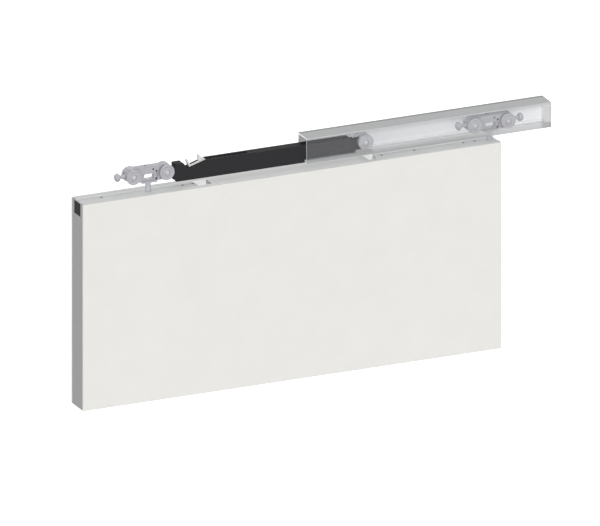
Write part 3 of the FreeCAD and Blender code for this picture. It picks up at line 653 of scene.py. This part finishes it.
for side in ("left", "right"):
    for end, outward in (("left", -1), ("right", 1)):
        node = "%s_trolley_%s_buffer" % (side, end)
        low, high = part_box(node)
        length = (high.x - low.x) / MM
        radius = (high.z - low.z) / 2 / MM
        knob = length - KNOB_LENGTH_MM
        root = Vector((low.x if outward > 0 else high.x, 0, (low.z + high.z) / 2))
        outline = eased([
            (0, 0), (COLLAR_RADIUS_MM, 0), (COLLAR_RADIUS_MM, COLLAR_HEIGHT_MM),
            (NECK_RADIUS_MM, NECK_START_MM), (NECK_RADIUS_MM, knob),
            (radius - KNOB_SHOULDER_MM, knob + KNOB_DRAFT_MM), (radius, knob + KNOB_SHOULDER_MM),
            (radius, length - KNOB_NOSE_MM), (radius - KNOB_NOSE_MM, length), (0, length),
        ], KNOB_EASE_MM)
        buffer = make_piece("knob_" + node, turned(outline, root, (outward, 0, 0)), nylon, "door")
        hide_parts(node)

# Soft-close damper: a long black moulding with a notch and a ramp for the catch. It drops over
# the left trolley's buffer, and a bracket clipped to its far end runs on a pair of rollers.

# Black ABS: moulded with a fine eroded grain that scatters light, so it looks charcoal.
abs_black = Finish("eroded_black_abs", ("2c2c2e", "323234"), (0.9, 0.9, 0.9), 0.02, (0.55, 0.7),
                   {"IOR": 1.53, "Specular IOR Level": 0.1})
# The tops are painted darker: a painted shade against the sheen they catch.
shaded_top = add(abs_black.tree, "Math", {"operation": "GREATER_THAN", 1: SQUARE_ON},
                 {0: (abs_black.faces, "Z")})
abs_black.over("161617", shaded_top)
abs_black.wear("3e3e40", 0.5)
abs_black.dress("damper_housing", "damper_end_bracket")
soften(0.4, "damper_housing", "damper_end_bracket")

make_axle("roller_axle")
for face in ("front", "back"):
    make_wheel("roller_%s_wheel" % face)

# Catch: an acetal moulding of two prongs on a bar. It lies on the ramp, tilts on a steel pin and is
# drawn along the damper's groove by the carriage that holds the pin.

# Natural acetal: a dense, slightly translucent white with a soft sheen.
acetal = Finish("natural_acetal", ("dcdddc", "e6e7e6"), (3, 3, 3), 0.015, (0.32, 0.44), {"IOR": 1.48})
acetal.wear("f0f0ee", 0.4)
acetal.dress("damper_catch")
soften(0.25, "damper_catch")
abs_black.dress("catch_carriage")
zinc.dress("catch_pin")

# Studio: a pale floor well below the hung panel, a white surround, soft lamps from the front, the
# top and the back. The camera has the photograph's parallel view.
FLOOR_DROP = 1.1
FLOOR_HALF = 12.0
FLOOR_GLOW = 0.7
SURROUND_LIGHT = 0.26
VIEW_AZIMUTH = math.radians(-24.28)
VIEW_ELEVATION = math.radians(19.56)
IMAGE_WIDTH_PX = 600
PIXELS_PER_MM = 0.7285
AIM = Vector((-192.9, -11.8, -180.6)) * MM
CAMERA_DISTANCE = 2.4
CAMERA_REACH = 100

scene = bpy.context.scene
scene.view_settings.view_transform = "Standard"

world = bpy.data.worlds.new("white_surround")
scene.world = world
world.use_nodes = True


def seen_rays(tree):
    """1 for what the camera sees directly, in a mirror or through glass, else 0."""
    rays = add(tree, "LightPath", {})
    direct = add(tree, "Math", {"operation": "MAXIMUM"},
                 {0: (rays, "Is Camera Ray"), 1: (rays, "Is Glossy Ray")})
    return add(tree, "Math", {"operation": "MAXIMUM"}, {0: direct, 1: (rays, "Is Transmission Ray")})


strength = add(world.node_tree, "MapRange", {"To Min": SURROUND_LIGHT, "To Max": 1.0},
               {"Value": seen_rays(world.node_tree)})
surround = world.node_tree.nodes["Background"]
surround.inputs["Color"].default_value = linear("ffffff")
world.node_tree.links.new(strength.outputs["Result"], surround.inputs["Strength"])

floor_mesh = bmesh.new()
bmesh.ops.create_grid(floor_mesh, x_segments=1, y_segments=1, size=FLOOR_HALF)
floor_mesh.transform(Matrix.Translation((0, 0, cad_low.z - FLOOR_DROP)))
floor_data = bpy.data.meshes.new("floor")
floor_mesh.to_mesh(floor_data)
floor_mesh.free()
floor = bpy.data.objects.new("floor", floor_data)
scene.collection.objects.link(floor)
floor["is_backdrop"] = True

# Pale matt floor: painted white, lifted to the surround's white where the camera sees it, so that
# only the object's shadow shows on it.
paint = bpy.data.materials.new("pale_matt_floor")
paint.use_nodes = True
paint.node_tree.nodes.clear()
floor_data.materials.append(paint)
matt = add(paint.node_tree, "BsdfDiffuse", {"Color": linear("d9d9d9")})
lift = add(paint.node_tree, "Math", {"operation": "MULTIPLY", 1: FLOOR_GLOW},
           {0: seen_rays(paint.node_tree)})
glow = add(paint.node_tree, "Emission", {}, {"Strength": lift})
lit = add(paint.node_tree, "AddShader", {}, {0: matt, 1: glow})
add(paint.node_tree, "OutputMaterial", {}, {"Surface": lit})

# Each lamp: the direction to it, its strength, its spread in degrees and whether it throws a shadow.
# The front lamp is a fill: it throws none, as the photograph has none, and isn't mirrored.
lamps = {
    "front_lamp": ((-0.34, -0.7, 0.63), 0.8, 40, False),
    "top_lamp": ((0.4, -0.25, 0.88), 0.06, 60, True),
    "back_lamp": ((0.2, 0.98, 0.03), 0.4, 15, True),
}
for name, (towards, lamp_strength, spread_degrees, throws_shadow) in lamps.items():
    lamp = bpy.data.lights.new(name, "SUN")
    lamp.energy = lamp_strength * math.pi
    lamp.angle = math.radians(spread_degrees)
    lamp.use_shadow = throws_shadow
    lamp_object = bpy.data.objects.new(name, lamp)
    lamp_object.rotation_mode = "QUATERNION"
    lamp_object.rotation_quaternion = Vector(towards).to_track_quat("Z", "Y")
    lamp_object.visible_glossy = throws_shadow
    scene.collection.objects.link(lamp_object)

to_camera = Vector((math.sin(VIEW_AZIMUTH) * math.cos(VIEW_ELEVATION),
                    -math.cos(VIEW_AZIMUTH) * math.cos(VIEW_ELEVATION), math.sin(VIEW_ELEVATION)))
lens = bpy.data.cameras.new("camera")
lens.type = "ORTHO"
lens.ortho_scale = IMAGE_WIDTH_PX / PIXELS_PER_MM * MM
lens.clip_end = CAMERA_REACH
camera = bpy.data.objects.new("camera", lens)
camera.location = AIM + to_camera * CAMERA_DISTANCE
camera.rotation_mode = "QUATERNION"
camera.rotation_quaternion = to_camera.to_track_quat("Z", "Y")
scene.collection.objects.link(camera)
scene.camera = camera

low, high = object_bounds()
